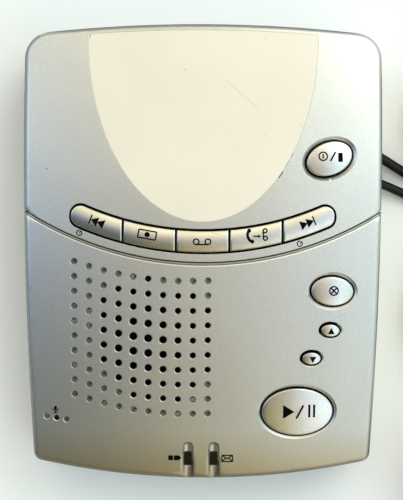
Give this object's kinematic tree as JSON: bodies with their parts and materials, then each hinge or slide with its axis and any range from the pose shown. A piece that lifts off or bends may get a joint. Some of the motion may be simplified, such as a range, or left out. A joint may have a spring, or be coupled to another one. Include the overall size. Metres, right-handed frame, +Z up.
{
  "type": "answering machine",
  "caption": "Small digital answering machine: domed silver casing, curved row of keys, oval keys, speaker grille, indicator windows and two corded plugs.",
  "frame": {"origin": "centre of the casing's footprint, on the surface it stands on", "axes": "+X to the right, +Y to the rear, +Z up"},
  "size_m": [0.215, 0.198, 0.0379],
  "materials": {
    "silver_paint": "metallic silver paint, satin",
    "key_paint": "pale silver paint, satin gloss",
    "cream_panel": "fine matt",
    "grey_plastic": "fine texture",
    "zinc_steel": "zinc plated",
    "black_rubber": "matt",
    "silicone": "matt, translucent",
    "fibreglass": "satin",
    "chip_epoxy": "matt",
    "can_aluminium": "satin",
    "core_steel": "laminated",
    "relay_case": "gloss",
    "ribbon_vinyl": "satin",
    "jack_plastic": "satin",
    "lamp_epoxy": "clear tinted",
    "smoked_window": "gloss",
    "pressed_steel": "satin",
    "magnet_ferrite": "matt",
    "cone_paper": "matt",
    "felt": "matt",
    "battery_jacket": "satin",
    "clip_vinyl": "satin",
    "clear_plug": "clear",
    "cord_vinyl": "satin",
    "supply_plastic": "fine texture",
    "nickel_pins": "nickel plated",
    "tie_vinyl": "satin"
  },
  "bodies": {
    "case": {"top_cover": "silver_paint", "name_panel": "cream_panel", "base": "grey_plastic", "case_screws": "zinc_steel", "feet": "black_rubber", "keypad_mat": "silicone", "key_board": "fibreglass", "main_board": "fibreglass", "inner_screws": "zinc_steel", "chips": "chip_epoxy", "capacitors": "can_aluminium", "line_transformer": "core_steel", "line_relay": "relay_case", "board_ribbon": "ribbon_vinyl", "line_jack": "jack_plastic", "power_jack": "jack_plastic", "lamps": "lamp_epoxy", "windows": "smoked_window", "speaker_frame": "pressed_steel", "speaker_magnet": "magnet_ferrite", "speaker_cone": "cone_paper", "speaker_gasket": "felt", "microphone": "can_aluminium", "microphone_boot": "black_rubber", "backup_battery": "battery_jacket", "battery_clip": "clip_vinyl", "line_plug_near": "clear_plug", "line_cord": "cord_vinyl", "line_coil": "cord_vinyl", "line_tail": "cord_vinyl", "line_plug_far": "clear_plug", "power_plug_near": "cord_vinyl", "power_cord": "cord_vinyl", "power_coil": "cord_vinyl", "power_tail": "cord_vinyl", "power_supply": "supply_plastic", "supply_pins": "nickel_pins", "cord_ties": "tie_vinyl", "dome_back": "silicone", "dome_record": "silicone", "dome_memo": "silicone", "dome_copy": "silicone", "dome_forward": "silicone", "dome_stop": "silicone", "dome_erase": "silicone", "dome_up": "silicone", "dome_down": "silicone", "dome_play": "silicone"},
    "lid": {"battery_lid": "grey_plastic"},
    "key_back": {"key_back": "key_paint"},
    "key_record": {"key_record": "key_paint"},
    "key_memo": {"key_memo": "key_paint"},
    "key_copy": {"key_copy": "key_paint"},
    "key_forward": {"key_forward": "key_paint"},
    "key_stop": {"key_stop": "key_paint"},
    "key_erase": {"key_erase": "key_paint"},
    "key_up": {"key_up": "key_paint"},
    "key_down": {"key_down": "key_paint"},
    "key_play": {"key_play": "key_paint"}
  },
  "joints": [
    {"name": "press_back", "type": "slide", "parent": "case", "child": "key_back", "axis": [0, 0, -1], "range_m": [0, 0.001], "stiffness_N_per_m": 300, "deforming": ["dome_back"]},
    {"name": "press_record", "type": "slide", "parent": "case", "child": "key_record", "axis": [0, 0, -1], "range_m": [0, 0.001], "stiffness_N_per_m": 300, "deforming": ["dome_record"]},
    {"name": "press_memo", "type": "slide", "parent": "case", "child": "key_memo", "axis": [0, 0, -1], "range_m": [0, 0.001], "stiffness_N_per_m": 300, "deforming": ["dome_memo"]},
    {"name": "press_copy", "type": "slide", "parent": "case", "child": "key_copy", "axis": [0, 0, -1], "range_m": [0, 0.001], "stiffness_N_per_m": 300, "deforming": ["dome_copy"]},
    {"name": "press_forward", "type": "slide", "parent": "case", "child": "key_forward", "axis": [0, 0, -1], "range_m": [0, 0.001], "stiffness_N_per_m": 300, "deforming": ["dome_forward"]},
    {"name": "press_stop", "type": "slide", "parent": "case", "child": "key_stop", "axis": [0, 0, -1], "range_m": [0, 0.001], "stiffness_N_per_m": 300, "deforming": ["dome_stop"]},
    {"name": "press_erase", "type": "slide", "parent": "case", "child": "key_erase", "axis": [0, 0, -1], "range_m": [0, 0.001], "stiffness_N_per_m": 300, "deforming": ["dome_erase"]},
    {"name": "press_up", "type": "slide", "parent": "case", "child": "key_up", "axis": [0, 0, -1], "range_m": [0, 0.001], "stiffness_N_per_m": 300, "deforming": ["dome_up"]},
    {"name": "press_down", "type": "slide", "parent": "case", "child": "key_down", "axis": [0, 0, -1], "range_m": [0, 0.001], "stiffness_N_per_m": 300, "deforming": ["dome_down"]},
    {"name": "press_play", "type": "slide", "parent": "case", "child": "key_play", "axis": [0, 0, -1], "range_m": [0, 0.001], "stiffness_N_per_m": 300, "deforming": ["dome_play"]},
    {"name": "lid_slide", "type": "slide", "parent": "case", "child": "lid", "axis": [0, 1, 0], "range_m": [0, 0.032]}
  ]
}
